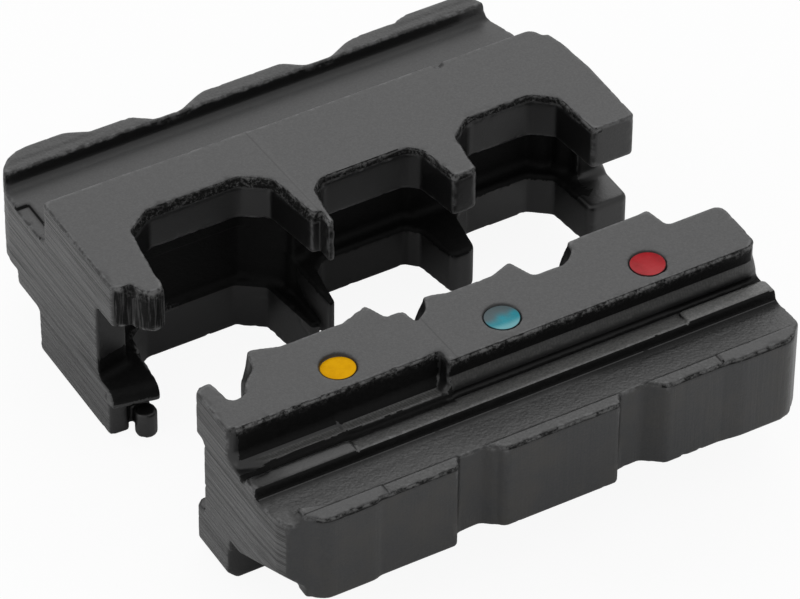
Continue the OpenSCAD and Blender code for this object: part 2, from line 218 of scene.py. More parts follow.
def surface(field, low):
    """Points and quads on the zero level of a field, one point to each cell that it passes."""
    inside = field < 0
    shape = np.array(field.shape) - 1
    corners = [(i, j, k) for i in (0, 1) for j in (0, 1) for k in (0, 1)]

    def shifted(a, c):
        return a[c[0]:c[0] + shape[0], c[1]:c[1] + shape[1], c[2]:c[2] + shape[2]]

    count = sum(shifted(inside, c).astype(np.int8) for c in corners)
    active = (count > 0) & (count < 8)
    index = np.full(active.shape, -1)
    cells = np.argwhere(active)
    index[active] = np.arange(len(cells))
    total, hits = np.zeros((len(cells), 3)), np.zeros(len(cells))
    for c in corners:
        for axis in range(3):
            if c[axis]:
                continue
            d = np.array(c)
            d[axis] = 1
            a = field[tuple((cells + c).T)]
            b = field[tuple((cells + d).T)]
            crossing = (a < 0) != (b < 0)
            place = np.zeros((len(cells), 3)) + c
            place[:, axis] = np.where(crossing, a / np.where(crossing, a - b, 1), 0)
            total += place * crossing[:, None]
            hits += crossing
    points = low + PITCH * (cells + total / hits[:, None])
    quads = []
    for axis in range(3):
        first = np.take(inside, range(field.shape[axis] - 1), axis)
        second = np.take(inside, range(1, field.shape[axis]), axis)
        edges = np.argwhere(first != second)
        enters = second[tuple(edges.T)]
        u, v = [np.eye(3, dtype=int)[(axis + n) % 3] for n in (1, 2)]
        ring = [index[tuple((edges - s).T)] for s in (u + v, v, np.zeros(3, int), u)]
        ring = np.stack(ring, 1)
        quads.append(np.where(enters[:, None], ring[:, ::-1], ring))
    return points, np.concatenate(quads)


def between(t, value_at):
    """Value within a cell at shares t of its sides, from the values at its eight corners."""
    total = np.zeros(len(t))
    for i in (0, 1):
        for j in (0, 1):
            for k in (0, 1):
                weight = np.abs(1 - i - t[:, 0]) * np.abs(1 - j - t[:, 1]) * np.abs(1 - k - t[:, 2])
                total += weight * value_at(i, j, k)
    return total


def sample(field, grid, points):
    """Value of a field at points between its samples."""
    place = (points - grid.low) / PITCH
    cell = np.clip(np.floor(place).astype(int), 0, np.array(field.shape) - 2)
    return between(place - cell, lambda *corner: field[tuple((cell + corner).T)])


def noise(points, size, seed):
    """Smooth noise from -1 to 1 with lumps of the given size, one number or one to each axis."""
    lattice = np.random.default_rng(seed).uniform(-1, 1, (LATTICE,) * 3)
    place = points / np.array(size, float)
    cell = np.floor(place).astype(int)
    return between(smooth(place - cell), lambda *corner: lattice[tuple(((cell + corner) % LATTICE).T)])


def normals(points, faces):
    """Unit normals at the points of a mesh of quads."""
    p = points[faces]
    n = np.cross(p[:, 2] - p[:, 0], p[:, 3] - p[:, 1])
    total = np.zeros_like(points)
    for i in range(faces.shape[1]):
        np.add.at(total, faces[:, i], n)
    return total / np.maximum(np.linalg.norm(total, axis=1, keepdims=True), 1e-12)


# Nest die
def nest_wall(station, mouth_y, grow=0, relief=0, throat_radius=0.25, floor_radius=0.35):
    """Corners of one nest from its left mouth to its right mouth."""
    x = station["x"]
    half = [station[key] / 2 for key in ("mouth", "throat", "floor")]
    side_y = station["throat_y"] + relief
    end_y = station["floor_y"] + relief + grow
    return [
        (x - half[0] - grow, mouth_y),
        (x - half[1] - grow, side_y, throat_radius),
        (x - half[2] - grow / 2, end_y, floor_radius),
        (x + half[2] + grow / 2, end_y, floor_radius),
        (x + half[1] + grow, side_y, throat_radius),
        (x + half[0] + grow, mouth_y),
    ]


SHOULDER_NEST, BLOCK_Y, RECESS_Y = 2.2, 3.02, 3.5
NEST_PLATE_Y, NEST_FOOT_Y, NEST_CORE_Y = 10.3, 16.5, 8.0
NEST_NOTCHES = (-5.15, 4.35)
PIN_X, PIN_Y, PIN_RADIUS, PIN_HEIGHT = -14.0, 2.5, 0.62, 1.65
PIT_X, PIT_BACK, PIT_RADIUS = 8.55, 0.2, 0.28
TORN_LOW = (10.5, 10.78)
UPPER_TIP = [(LEFT, SHOULDER_NEST + 0.3), (LEFT + 0.45, SHOULDER_NEST), (-14.9, 2.1), (-14.85, 1.8, 0.1),
             (-14.5, 1.3, 0.3), (-14.05, 0.98, 0.45), (-13.33, 1.15, 0.3)]
LOWER_TIP = [(LEFT, BLOCK_Y + 0.05, 0.15), (-14.72, BLOCK_Y, 0.15), (-14.68, RECESS_Y)]


def nest_outline(tip, mouth_y, relief=0, radii=(0.25, 0.35), corner=0.25, right=RIGHT - 0.1):
    """Outline of the nest die's crimping flanges behind the given left tip."""
    back, pillar_y, tall_y = 9.5, 1.38, 2.4
    return (
        [(LEFT, back)] + tip
        + nest_wall(YELLOW, mouth_y, 0, relief, *radii)[:-1]
        + [(-3.72, tall_y, corner), (STEP_X, tall_y), (STEP_X, pillar_y, 0.05), (-2.86, pillar_y, 0.18)]
        + nest_wall(BLUE, pillar_y, 0, 0, *radii)[1:-1]
        + [(4.5, pillar_y, corner), (6.0, pillar_y, 1.5 * corner)]
        + nest_wall(RED, pillar_y, 0, 0, *radii)[1:-1]
        + [(13.1, 1.05, corner), (right, 1.05, corner), (right, 6), (RIGHT - 0.35, 8.5)]
        + [(RIGHT - 0.6, back)]
    )


def guide_pin(g):
    """Rounded lip of the lower left shoulder and the guide pin under it."""
    front = 2.68 - 0.207 * (g.x - LEFT)
    lip = cut(front - g.y, TALL_TOP - g.z, 0.65)
    reach = [(LEFT - 1, 5), (LEFT - 1, 0), (-13.25, 0), (-13.25, 2.2), (-12.95, 5)]
    lip = common(lip, g.plan(reach), 2.25 - g.z)
    pin = cut(np.hypot(g.x - PIN_X, g.y - PIN_Y) - PIN_RADIUS, PIN_HEIGHT - g.z, 0.12)
    neck = common(np.abs(g.x - PIN_X) - 0.3, g.z - 1.2, np.abs(g.y - 3.0) - 0.6)
    return union(lip, join(pin, neck, 0.1))


def nest_upper(g, top):
    """Upper flange. The rims of its nests are torn back, deepest at the back of the nests."""
    rims = smooth((8.1 - g.y) / 0.4) * smooth((g.x - LEFT - 0.5) / 0.4) * smooth((13.6 - g.x) / 0.4)
    rims = rims * (0.45 + 0.55 * smooth((g.y - 1.6) / 1.2))
    low = np.where(g.x < STEP_X, *TORN_LOW)
    band = np.where(g.z > low, 0.04 + 0.1 * smooth((g.z - low) / (HEIGHT - low)), 0.0)
    upper = g.plan(nest_outline(UPPER_TIP, SHOULDER_NEST, 0, (0.35, 0.9)))
    upper = upper + (rims * band).astype(np.float32)
    return common(cut(upper, g.z - UPPER_BASE, 0.18), g.z - top)


def nest_lower(g):
    """Lower flange: down to the ground on the tall segment, raised on the short one."""
    sides = g.x - STEP_X
    tall = g.plan(nest_outline(LOWER_TIP, RECESS_Y, RELIEF))
    tall = common(union(common(tall, g.z - TALL_TOP, -g.z), guide_pin(g)), sides)
    short = g.plan(nest_outline(UPPER_TIP, SHOULDER_NEST, 0, (0.25, 0.35), 0.4, RIGHT - 0.3))
    short = common(cut(short, SHORT_TOP - g.z, 0.25), SHORT_BASE - g.z, -sides)
    return join(tall, short, 0.15)


def nest_waist(g):
    """Waist between the flanges, cut in behind the nests."""
    left_end = [(LEFT - 1, 8.3), (LEFT - 1, 4.1), (-13.95, 4.75, 0.3), (-13.2, 6.5, 0.5), (-13, 8.3)]
    right_end = [(13.2, 8.3), (13.2, 3.6, 0.5), (RIGHT - 0.35, 3.5, 0.6), (RIGHT - 0.15, 8.3)]
    middle = rectangle(LEFT, RIGHT - 0.15, 5.4, NEST_CORE_Y + 0.3)
    waist = union(g.plan(middle), g.plan(left_end), g.plan(right_end))
    for station in (YELLOW, BLUE, RED):
        waist = cut(waist, g.plan(nest_wall(station, 0, UNDERCUT)), 0.2)
    return common(waist, g.layer(*WAIST_SPAN))


def nest_foot(g):
    """Core and foot of the nest die, with its rim, pads and notches."""
    foot_y = NEST_FOOT_Y
    core = g.section([
        (NEST_CORE_Y, 0), (11.3, 0, 0.25), (11.3, 2.85, 0.25), (13.85, 2.85, 0.25), (13.85, FOOT_BASE, 0.2),
        (foot_y, FOOT_BASE, 0.35), (foot_y, FOOT_RIM, 0.2), (foot_y - 1.1, FOOT_RIM, 0.15),
        (foot_y - 1.25, FOOT_FLOOR, 0.5), (NEST_CORE_Y, FOOT_FLOOR),
    ])
    left_pad = [(LEFT - 1, foot_y - 0.4), (LEFT - 1, PAD_FACE), (-11.2, PAD_FACE, 1.5),
                (-10.1, foot_y, 1.2), (-9.6, foot_y - 0.4)]
    right_pad = [(9.0, foot_y - 0.4), (9.6, foot_y, 0.8), (10.3, foot_y + 0.22, 0.8),
                 (RIGHT + 1, foot_y + 0.22), (RIGHT + 1, foot_y - 0.4)]
    for pad in (left_pad, right_pad):
        core = union(core, g.prism(pad, FOOT_BASE + 0.1, FOOT_RIM + 0.05))
    for x in NEST_NOTCHES:
        notch = [(x - 2.6, foot_y + 2), (x - 2.15, foot_y), (x - 1.05, foot_y - 0.8, 0.8),
                 (x + 0.55, foot_y - 0.8, 0.8), (x + 2.15, foot_y), (x + 2.6, foot_y + 2)]
        core = cut(core, g.plan(notch), 0.25)
    return core


def nest_die_field(g):
    """The nest die: two crimping flanges with three nests, a waist, a plate and a foot."""
    top = HEIGHT - 0.03 * smooth((g.x - STEP_X) / 0.12 + 0.5)
    waist = nest_waist(g)
    core = join(nest_foot(g), common(waist, NEST_CORE_Y - 0.3 - g.y), 0.05)
    body = join(union(core, waist), nest_lower(g), 0.5)
    body = join(body, nest_upper(g, top), 0.25)
    plate = [(LEFT, 6), (LEFT, NEST_PLATE_Y + 0.15, 0.3), (-3.0, NEST_PLATE_Y, 2),
             (RIGHT - 1.2, NEST_PLATE_Y, 0.7), (RIGHT - 0.4, 8.2, 0.8), (RIGHT - 0.1, 6)]
    body = join(body, common(g.plan(plate), 7 - g.z, g.z - top, 7.8 - g.y), 0.18)
    ends = [(LEFT, -1), (RIGHT - 0.1, -1), (RIGHT - 0.1, 6), (RIGHT - 0.55, 13.4, 2.0),
            (14.2, PAD_FACE, 2.0), (LEFT, PAD_FACE, 2.4)]
    body = common(body, g.plan(ends), -g.z, g.z - top)

    # Shallow pocket where the floor meets the left end, and a pit on the plate's back edge
    pocket = common(g.plan(rectangle(LEFT - 1, LEFT + 0.75, 11.0, 13.6)), FOOT_FLOOR - 0.2 - g.z)
    body = common(body, -pocket)
    pit = np.sqrt((g.x - PIT_X) ** 2 + (g.y - NEST_PLATE_Y + PIT_BACK) ** 2 + (g.z - HEIGHT) ** 2)
    return cut(body, pit - PIT_RADIUS, 0.05)


# Indenter die
HORNS = {
    "yellow": {"x": -8.45, "horns": 7.2, "horn_y": -5.25, "flat": 3.8, "flat_y": -5.86},
    "blue": {"x": 0.8, "horns": 5.5, "horn_y": -5.98, "flat": 2.8, "flat_y": -6.48},
    "red": {"x": 9.6, "horns": 5.2, "horn_y": -5.95, "flat": 4.0, "flat_y": -6.08},
}
SHOULDER_Y, VALLEY_Y = -6.57, -7.55
SCOOPS = ((-12.75, -6.35), (-2.45, -6.75), (6.55, -6.75))
MARKS = {"yellow": (-8.45, -8.76), "blue": (0.98, -9.62), "red": (9.91, -9.76)}
MARK_RADIUS = 1.0
MARK_DEPTH = 0.25


def indenter(name, left_radius, right_radius):
    """Corners of one indenter from its left horn to its right horn."""
    h = HORNS[name]
    return [
        (h["x"] - h["horns"] / 2, h["horn_y"], left_radius),
        (h["x"] - h["flat"] / 2, h["flat_y"], 0.8),
        (h["x"] + h["flat"] / 2, h["flat_y"], 0.8),
        (h["x"] + h["horns"] / 2, h["horn_y"], right_radius),
    ]


def indenter_outline(back):
    """Outline of the indenter die's crimping flanges."""
    return (
        [(LEFT, back), (LEFT, SHOULDER_Y - 0.35), (LEFT + 0.4, SHOULDER_Y, 0.15)]
        + [(LEFT + 1.05, SHOULDER_Y, 0.2), (LEFT + 1.28, -8.35, 0.45), (LEFT + 2.05, -8.4, 0.5)]
        + indenter("yellow", 0.4, 0.25)
        + [(-4.35, SHOULDER_Y, 0.2), (-3.15, SHOULDER_Y, 0.3), (-3.05, VALLEY_Y)]
        + indenter("blue", 0.3, 0.2)
        + [(4.15, VALLEY_Y, 0.3), (5.9, VALLEY_Y, 0.3)]
        + indenter("red", 0.3, 0.25)
        + [(12.5, VALLEY_Y, 0.3), (RIGHT, VALLEY_Y, 0.6), (RIGHT, back)]
    )


GROOVE_Z, CREST_Z, RAIL_Z = 8.97, 9.34, 9.35
TALL_PLATE_Y, SHORT_PLATE_Y = -10.4, -11.35
INDENTER_FOOT_Y = -16.85
INDENTER_NOTCHES = (-4.5, 5.3)
RAIL_ENDS, RAIL_STEPS = (-9.6, 10.45), (-9.68, 10.37)
PAD_ENDS, PAD_INNER_Y = (-9.94, 10.3), -16.07


def indenter_section(keel_y):
    """Section of the indenter die under its plate: keel, foot with its sloped floor, terrace, groove."""
    foot_y = INDENTER_FOOT_Y
    return [
        (-8.5, 0), (keel_y, 0, 0.5), (keel_y - 0.2, 3.45, 0.2), (-12.8, 3.45, 0.2), (-13.0, FOOT_BASE, 0.3),
        (foot_y, FOOT_BASE, 0.1), (foot_y, FOOT_RIM, 0.12), (-16.0, FOOT_RIM - 0.02), (-15.95, 9.2),
        (-14.3, 8.8, 1.2), (-13.62, 8.68), (-13.6, 8.76), (-13.4, 8.78), (-13.36, 8.7),
        (-13.18, CREST_Z, 0.08), (-11.84, GROOVE_Z), (-8.5, GROOVE_Z),
    ]


def indenter_plate(g, top):
    """Plate with its step. The front of the short segment leans out below its break."""
    corner = [(LEFT, -5), (LEFT, TALL_PLATE_Y, 0.9), (STEP_X, TALL_PLATE_Y),
              (STEP_X, SHORT_PLATE_Y, 0.08), (RIGHT, SHORT_PLATE_Y, 0.75), (RIGHT, -5)]
    tall = 0.15 * (HEIGHT - g.z) / (HEIGHT - GROOVE_Z)
    short = np.clip(0.25 * (10.15 - g.z) / 0.85, 0, 0.25)
    lean = np.where(g.x < STEP_X, tall, short).astype(np.float32)
    return common(cut(g.plan(corner) - lean, top - g.z, 0.12), 8.5 - g.z, g.y + 8.7)


def ridge(g):
    """Tool-marked ridge along the foot of the tall segment's plate."""
    thin = [(-15.6, -10), (-15.6, -10.9), (-14.0, -11.5, 1.5), (STEP_X, -11.5), (STEP_X, -10)]
    wide = [(-9.6, -10), (-9.6, -11.5), (-9.0, -11.62, 0.5), (STEP_X, -11.62), (STEP_X, -10)]
    low = cut(g.plan(thin), 9.15 - g.z, 0.1)
    high = cut(g.plan(wide), 9.24 - g.z, 0.1)
    return common(union(low, high), 8.6 - g.z)


def foot_corner(g):
    """Positive where the foot is cut away at its left end: set back beside the pad and bevelled below."""
    outline = [(LEFT - 1, -5), (LEFT, -5), (LEFT, -13.4), (-15.78, -15.3, 0.5), (-15.5, -15.95, 0.25),
               (-14.6, -16.24), (-14.0, -16.24), (-14.0, -PAD_FACE - 1),
               (RIGHT + 1, -PAD_FACE - 1), (RIGHT + 1, -5)]
    ramp = -14.9 + 0.6 * np.clip(g.z - 8.92, 0, 0.48)
    step = common(g.x - ramp, g.y + 14.6, 8.92 - g.z)
    start = -15.26 + 0.435 * (-13.26 - g.y)
    bevel = (FOOT_BASE - g.z + 1.08 * (start - g.x)) / 1.47
    bevel = np.where(g.z > 3.5, bevel, -9)
    return common(g.plan(outline), -step, bevel)


def indenter_upper(g, top):
    """Upper flange. The left flank of each indenter leans out below the plate."""
    scoops = sum(hill(g.x - x, 0.75) * hill(g.y - y, 0.8) for x, y in SCOOPS)
    lean = (0.7 * smooth((g.z - 9.9) / 1.2) - 0.22) * np.minimum(scoops, 1)
    plan = g.plan(indenter_outline(-10.0)) + lean.astype(np.float32)
    return common(plan, UPPER_BASE - g.z, g.z - top)


def indenter_lower(g):
    """Lower flange: down to the ground on the tall segment, raised on the short one."""
    sides = g.x - STEP_X
    plan = g.plan(indenter_outline(-9.6))
    tall = common(plan, g.layer(-1, TALL_TOP), sides)
    short = common(plan, g.layer(SHORT_BASE, SHORT_TOP), -sides)
    return join(tall, short, 0.2)


def indenter_waist(g):
    """Waist between the flanges, with a tip at its left end."""
    tip = [(LEFT - 1, -10.4), (LEFT - 1, -7.65), (LEFT + 1.15, -7.65, 0.4), (LEFT + 1.15, -10.4)]
    middle = rectangle(LEFT - 1, RIGHT + 1, -10.4, -8.9)
    return common(union(g.plan(middle), g.plan(tip)), g.layer(*WAIST_SPAN))


def indenter_foot(g):
    """Core and foot of the indenter die, with its rails, notches, pads and ridge."""
    foot_y, sides = INDENTER_FOOT_Y, g.x - STEP_X
    left = common(g.section(indenter_section(-10.1)), sides)
    right = common(g.section(indenter_section(-12)), -sides)
    core = union(left, right)
    for x0, x1 in ((LEFT - 1, RAIL_ENDS[0]), (RAIL_ENDS[1], RIGHT - 0.05)):
        span = [(x0, -13.08), (x1, -13.08, 0.4), (x1, -12.13, 0.3), (x0, -12.13)]
        core = join(core, g.prism(span, 8, RAIL_Z), 0.03)
    for x in INDENTER_NOTCHES:
        notch = [(x - 1.8, foot_y - 2), (x - 1.35, foot_y), (x - 0.95, foot_y + 0.8, 0.5),
                 (x + 0.5, foot_y + 0.85, 0.5), (x + 1.6, foot_y), (x + 2.0, foot_y - 2)]
        core = cut(core, g.plan(notch), 0.12)
    core = common(core, foot_corner(g))
    left_pad = [(-14.62, -15.4), (-14.62, -16.3, 0.3), (-13.7, -PAD_FACE, 1.1),
                (-11.0, -PAD_FACE, 1.5), (PAD_ENDS[0], foot_y, 1.0), (PAD_ENDS[0], -15.98),
                (-13, -15.93)]
    right_pad = [(PAD_ENDS[1], -16.02), (PAD_ENDS[1], foot_y, 0.1), (11.6, -PAD_FACE, 1.5),
                 (RIGHT + 1, -PAD_FACE), (RIGHT + 1, -16.02)]
    for pad in (left_pad, right_pad):
        core = union(core, g.prism(pad, FOOT_BASE, FOOT_RIM + 0.05))
    return join(core, ridge(g), 0.04)


def indenter_die_field(g):
    """The indenter die: two flanges with horned indenters, a waist, a stepped plate and a foot."""
    top = HEIGHT - 0.02 * smooth((g.x - STEP_X) / 0.2 + 0.5)
    body = join(union(indenter_foot(g), indenter_waist(g)), indenter_lower(g), 0.3)
    body = join(body, indenter_upper(g, top), 0.25)
    fillet = 0.2 + 0.4 * smooth((STEP_X - g.x) / 0.4 + 0.5)
    body = join(body, indenter_plate(g, top), fillet)
    ends = [(LEFT, -5), (LEFT, -PAD_FACE), (14.6, -PAD_FACE, 1.2), (15.7, -15.8, 0.9),
            (RIGHT, -14.3, 0.9), (RIGHT, -5)]
    bevel = (0.45 * (LEFT - g.x) + 0.4 * (0.9 - g.z)) / math.hypot(0.45, 0.4)
    body = common(body, g.plan(ends), bevel, -g.z, g.z - top)
    for x, y in MARKS.values():
        recess = common(np.hypot(g.x - x, g.y - y) - MARK_RADIUS, HEIGHT - MARK_DEPTH - g.z)
        body = common(body, -recess)
    return body


def end_lines(points, n):
    """Shares of the fine steps where the pads and the rails of the indenter die end."""
    x, y, z = points.T
    pads = np.maximum(*[hill(x - end, 0.07) for end in PAD_ENDS]) * (y < -16.05)
    rails = np.maximum(*[hill(x - end, 0.07) for end in RAIL_STEPS]) * (y > -13.15) * (y < -12.0)
    return np.maximum(pads, rails) * (z > 9.0) * (n[:, 2] > 0.6)


def wear(points, n, edge, torn, lined, cast):
    """Distance that each point moves along its normal: tool marks, torn rims and cast skin."""
    # Slight waves all over, torn rims, and chips on the edges
    move = 0.003 * noise(points, 2.6, 1) + 0.002 * noise(points, 0.9, 2)
    move += torn * (0.035 * noise(points, (0.3, 0.3, 0.4), 3) + 0.035 * noise(points, 0.19, 4))
    chips = np.maximum(noise(points, 0.35, 5) + 0.6 * noise(points, 1.7, 6) - 0.35, 0)
    move -= (0.07 + 0.1 * torn) * np.minimum(edge, 1) * chips

    # Rows and scratches of the tool on the left ends
    rows = noise(points, (40, 14, 0.2), 7) + 0.6 * noise(points, (40, 9, 0.45), 8)
    scratch = np.maximum(noise(points, (40, 5, 0.18), 10) - 0.5, 0)
    move += lined * (0.014 * rows - 0.2 * scratch)

    # Groove under the rim of the indenter die's foot, fine steps on top of it, and cast skin
    under_rim = hill(points[:, 2] - 9.2, 0.07) * smooth((-points[:, 1] - 16.5) / 0.1)
    move -= under_rim * (0.05 + 0.04 * noise(points, (0.9, 9, 9), 12)) + 0.08 * end_lines(points, n)
    return move + cast * (0.007 * noise(points, 0.4, 9) + 0.006 * noise(points, 0.2, 11))


EDGE_WEAR, EDGE_LOOKS = 0.06, 0.08
# Shares that the points of a die carry: finishes, painted light and painted shade
FINISHES_AND_PAINTED_LIGHT = ("torn", "lined", "cast", "ground", "front", "painted_light", "ticks", "painted_shade", "striped")


def nest_regions(x, y, z, n):
    """Finishes of the nest die: torn rims, ground plate, cast foot and striped nose, with painted light and
    painted shade.
    """
    up, ahead = n[:, 2], -n[:, 1]
    low = np.where(x < STEP_X, *TORN_LOW)
    behind = smooth((7.9 - y) / 0.3)
    rim = behind * smooth((x - LEFT - 0.4) / 0.3) * smooth((13.9 - x) / 0.4)
    torn = smooth((z - low) / 0.08 + 0.5) * rim * smooth((0.75 - up) / 0.2)
    flange = smooth((z - 2.9) / 0.15) * smooth((3.4 - z) / 0.1) * smooth((-8.8 - x) / 1.2)
    torn = np.maximum(torn, flange * behind * smooth((x + 13.3) / 0.2))

    foot_rim = (y > 14) * (z > 9.2)
    ground = smooth((up - 0.8) / 0.15) * (z > 8.2) * np.where(y > 14, 0.55, 1)
    shoulder = 0.45 * smooth((ahead - 0.7) / 0.2) * (x > 13.0) * (z > 8.3)
    strip = smooth((z - 2.85) / 0.1) * (z < 3.3) * (y > 4.5) * (y < 8.2)
    blue_wall = (x > STEP_X) * (x < 5) * (y > 4) * (y < 5.5) * (z < 5.4) * smooth((ahead - 0.5) / 0.3)
    # Painted light on a strip at the top of the yellow nest's lower flange; painted shade on the lower wall
    # of the blue nest, and the top of the foot rim darkened the same way, more faintly
    return {
        "torn": torn,
        "cast": 0.5 * foot_rim * smooth((up - 0.6) / 0.2),
        "ground": np.maximum(ground, shoulder),
        "front": smooth((n[:, 1] - 0.6) / 0.2) * (y > 15),
        "painted_light": 0.25 * strip * (x > -13.2) * (x < -9.2),
        "painted_shade": np.maximum(0.3 * foot_rim * (up > 0.6), 0.85 * blue_wall),
        "striped": smooth((-13.15 - x) / 0.1) * (z > 8.3) * (y < 2.5) * smooth((ahead - 0.1) / 0.3),
    }


def indenter_regions(x, y, z, n):
    """Finishes of the indenter die: torn rims, ground plate and pads, cast terrace and floor, with painted
    light on the terrace's slope, ridge and band, and painted shade in the groove, beside the crest and on
    the rails.
    """
    up, ahead = n[:, 2], -n[:, 1]
    right = x > STEP_X
    at_pads = (x < PAD_ENDS[0]) | (x > PAD_ENDS[1])
    at_rails = (x < RAIL_ENDS[0]) | (x > RAIL_ENDS[1])

    torn = smooth((z - 10.55) / 0.5) * smooth((0.85 - up) / 0.2) * smooth((-y - 10.1) / 0.2)
    rim = smooth((z - 9.0) / 0.3) * smooth((-y - 16.4) / 0.2) * smooth((0.9 - up) / 0.2)
    torn = np.maximum(torn, 0.8 * rim * (z < 9.7))

    level = smooth((up - 0.8) / 0.15)
    terrace = smooth((up - 0.5) / 0.3) * (z > 8.2) * (z < 9.5) * (y > -16.0) * (y < -11.84)
    cast = terrace * np.where((y > -13.3) & at_rails, 0.1, 1)
    ground = level * ((z > 10.9) | ((y < -16.0) & at_pads))
    cast = np.maximum(cast, level * (z < 9.5) * (y < -15.9) * (1 - ground))

    # Painted light: the slope of the terrace is painted brighter towards its crest, and the tool-marked
    # ridge and band get a painted highlight
    slope = smooth((y + 13.25) / 0.1) * smooth((-11.7 - y) / 0.15) * smooth((up - 0.4) / 0.3)
    near = smooth((np.where(right, -11.85, -12.0) - y) / np.where(right, 0.5, 0.7))
    along = np.where(x < RAIL_ENDS[0], 0.12, 0.5 + 0.5 * smooth((x + 9) / 14))
    painted_light = slope * (z > 8.8) * (z < 9.5) * near * along
    ridge_top = (x < STEP_X) * (y < -10.5) * (y > -11.66) * (z > 9.0) * (z < 9.4)
    ridge_top = ridge_top * smooth((up - 0.9) / 0.08)
    band = right * (y < -11.3) * smooth((z - 9.45) / 0.15) * smooth((10.2 - z) / 0.1)
    ticks = np.maximum(0.75 * ridge_top * smooth((x + 15.2) / 1.6), 0.5 * band * (y > -11.75))

    # Painted shade in the groove, on the floor beside the crest, and on the rails
    groove = 1 - smooth((np.where(right, -11.8, -11.95) - y) / np.where(right, 0.25, 0.4))
    painted_shade = (y < -11.4) * (y > -12.6) * (z < 9.3) * (z > 8.8) * groove
    painted_shade = painted_shade * (1 - smooth((up - 0.9) / 0.05) * (y > -11.62))
    foot = smooth((up - 0.6) / 0.2) * (y < -13.38) * (z < 9.0)
    reach = 0.7 + 0.5 * smooth((x - 2) / 6)
    beside = (0.75 + 0.25 * smooth((x - 2) / 4)) * foot * (1 - smooth((-13.45 - y) / reach))
    rail = (x < RAIL_ENDS[0]) * (y < -12.1) * (y > -13.2) * (z > 9.2) * (up > 0.6)
    fade = np.maximum(0.8 * (1 - smooth((x + 15.4) / 4.5)), 0.85 * (1 - smooth((-12.2 - y) / 0.6)))
    return {
        "torn": torn,
        "cast": cast,
        "ground": ground,
        "front": smooth((ahead - 0.6) / 0.2) * (y < -15.5),
        "painted_light": np.maximum(painted_light, ticks),
        "ticks": ticks,
        "painted_shade": np.maximum(np.maximum(painted_shade, beside), rail * fade),
    }


def regions(name, p, n):
    """Shares of each finish, of painted light and of painted shade at points p with normals n."""
    x, y, z = p.T
    found = {"nest_die": nest_regions, "indenter_die": indenter_regions}[name](x, y, z, n)
    found["lined"] = smooth((-n[:, 0] - 0.75) / 0.15) * (x < LEFT + 0.5)
    return {key: found.get(key, 0 * x) for key in FINISHES_AND_PAINTED_LIGHT}


def make_die(name, body, low, high, field_of):
    """Meshes one die from its field, wears it, and gives its points the shares of each finish, of painted
    light and of painted shade.
    """
    grid = Grid(low, high)
    field = soften(np.array(np.broadcast_to(field_of(grid), np.broadcast_shapes(
        grid.x.shape, grid.y.shape, grid.z.shape)), np.float32), SOFTENING)
    broad = soften(field.copy(), BROAD_SOFTENING) - field
    points, faces = surface(field, grid.low)
    n = normals(points, faces)
    edge = np.maximum(sample(broad, grid, points) / EDGE_WEAR, 0)
    share = regions(name, points, n)
    points = points + n * wear(points, n, edge, share["torn"], share["lined"], share["cast"])[:, None]
    points = np.clip(points, low, high)

    mesh = bpy.data.meshes.new(name)
    mesh.vertices.add(len(points))
    mesh.vertices.foreach_set("co", (points * MM).ravel())
    mesh.loops.add(faces.size)
    mesh.loops.foreach_set("vertex_index", faces.ravel())
    mesh.polygons.add(len(faces))
    mesh.polygons.foreach_set("loop_start", np.arange(0, faces.size, 4))
    mesh.update(calc_edges=True)
    mesh.validate()
    piece = add_object(name, mesh)
    thin = piece.modifiers.new("thin", "DECIMATE")
    thin.ratio = min(1, FACE_LIMIT / (2 * len(faces)))
    bpy.context.view_layer.update()
    done = bpy.data.meshes.new_from_object(piece.evaluated_get(bpy.context.evaluated_depsgraph_get()))
    piece.modifiers.clear()
    piece.data = done
    done.name = name
    done.polygons.foreach_set("use_smooth", np.ones(len(done.polygons), bool))

    co = vectors(done.vertices, "co") / MM
    values = regions(name, co, vectors(done.vertices, "normal"))
    values["edge"] = np.clip(sample(broad, grid, co) / EDGE_LOOKS, 0, 1)
    give(done, values)
    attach(piece, body)
    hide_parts(name)
    return piece


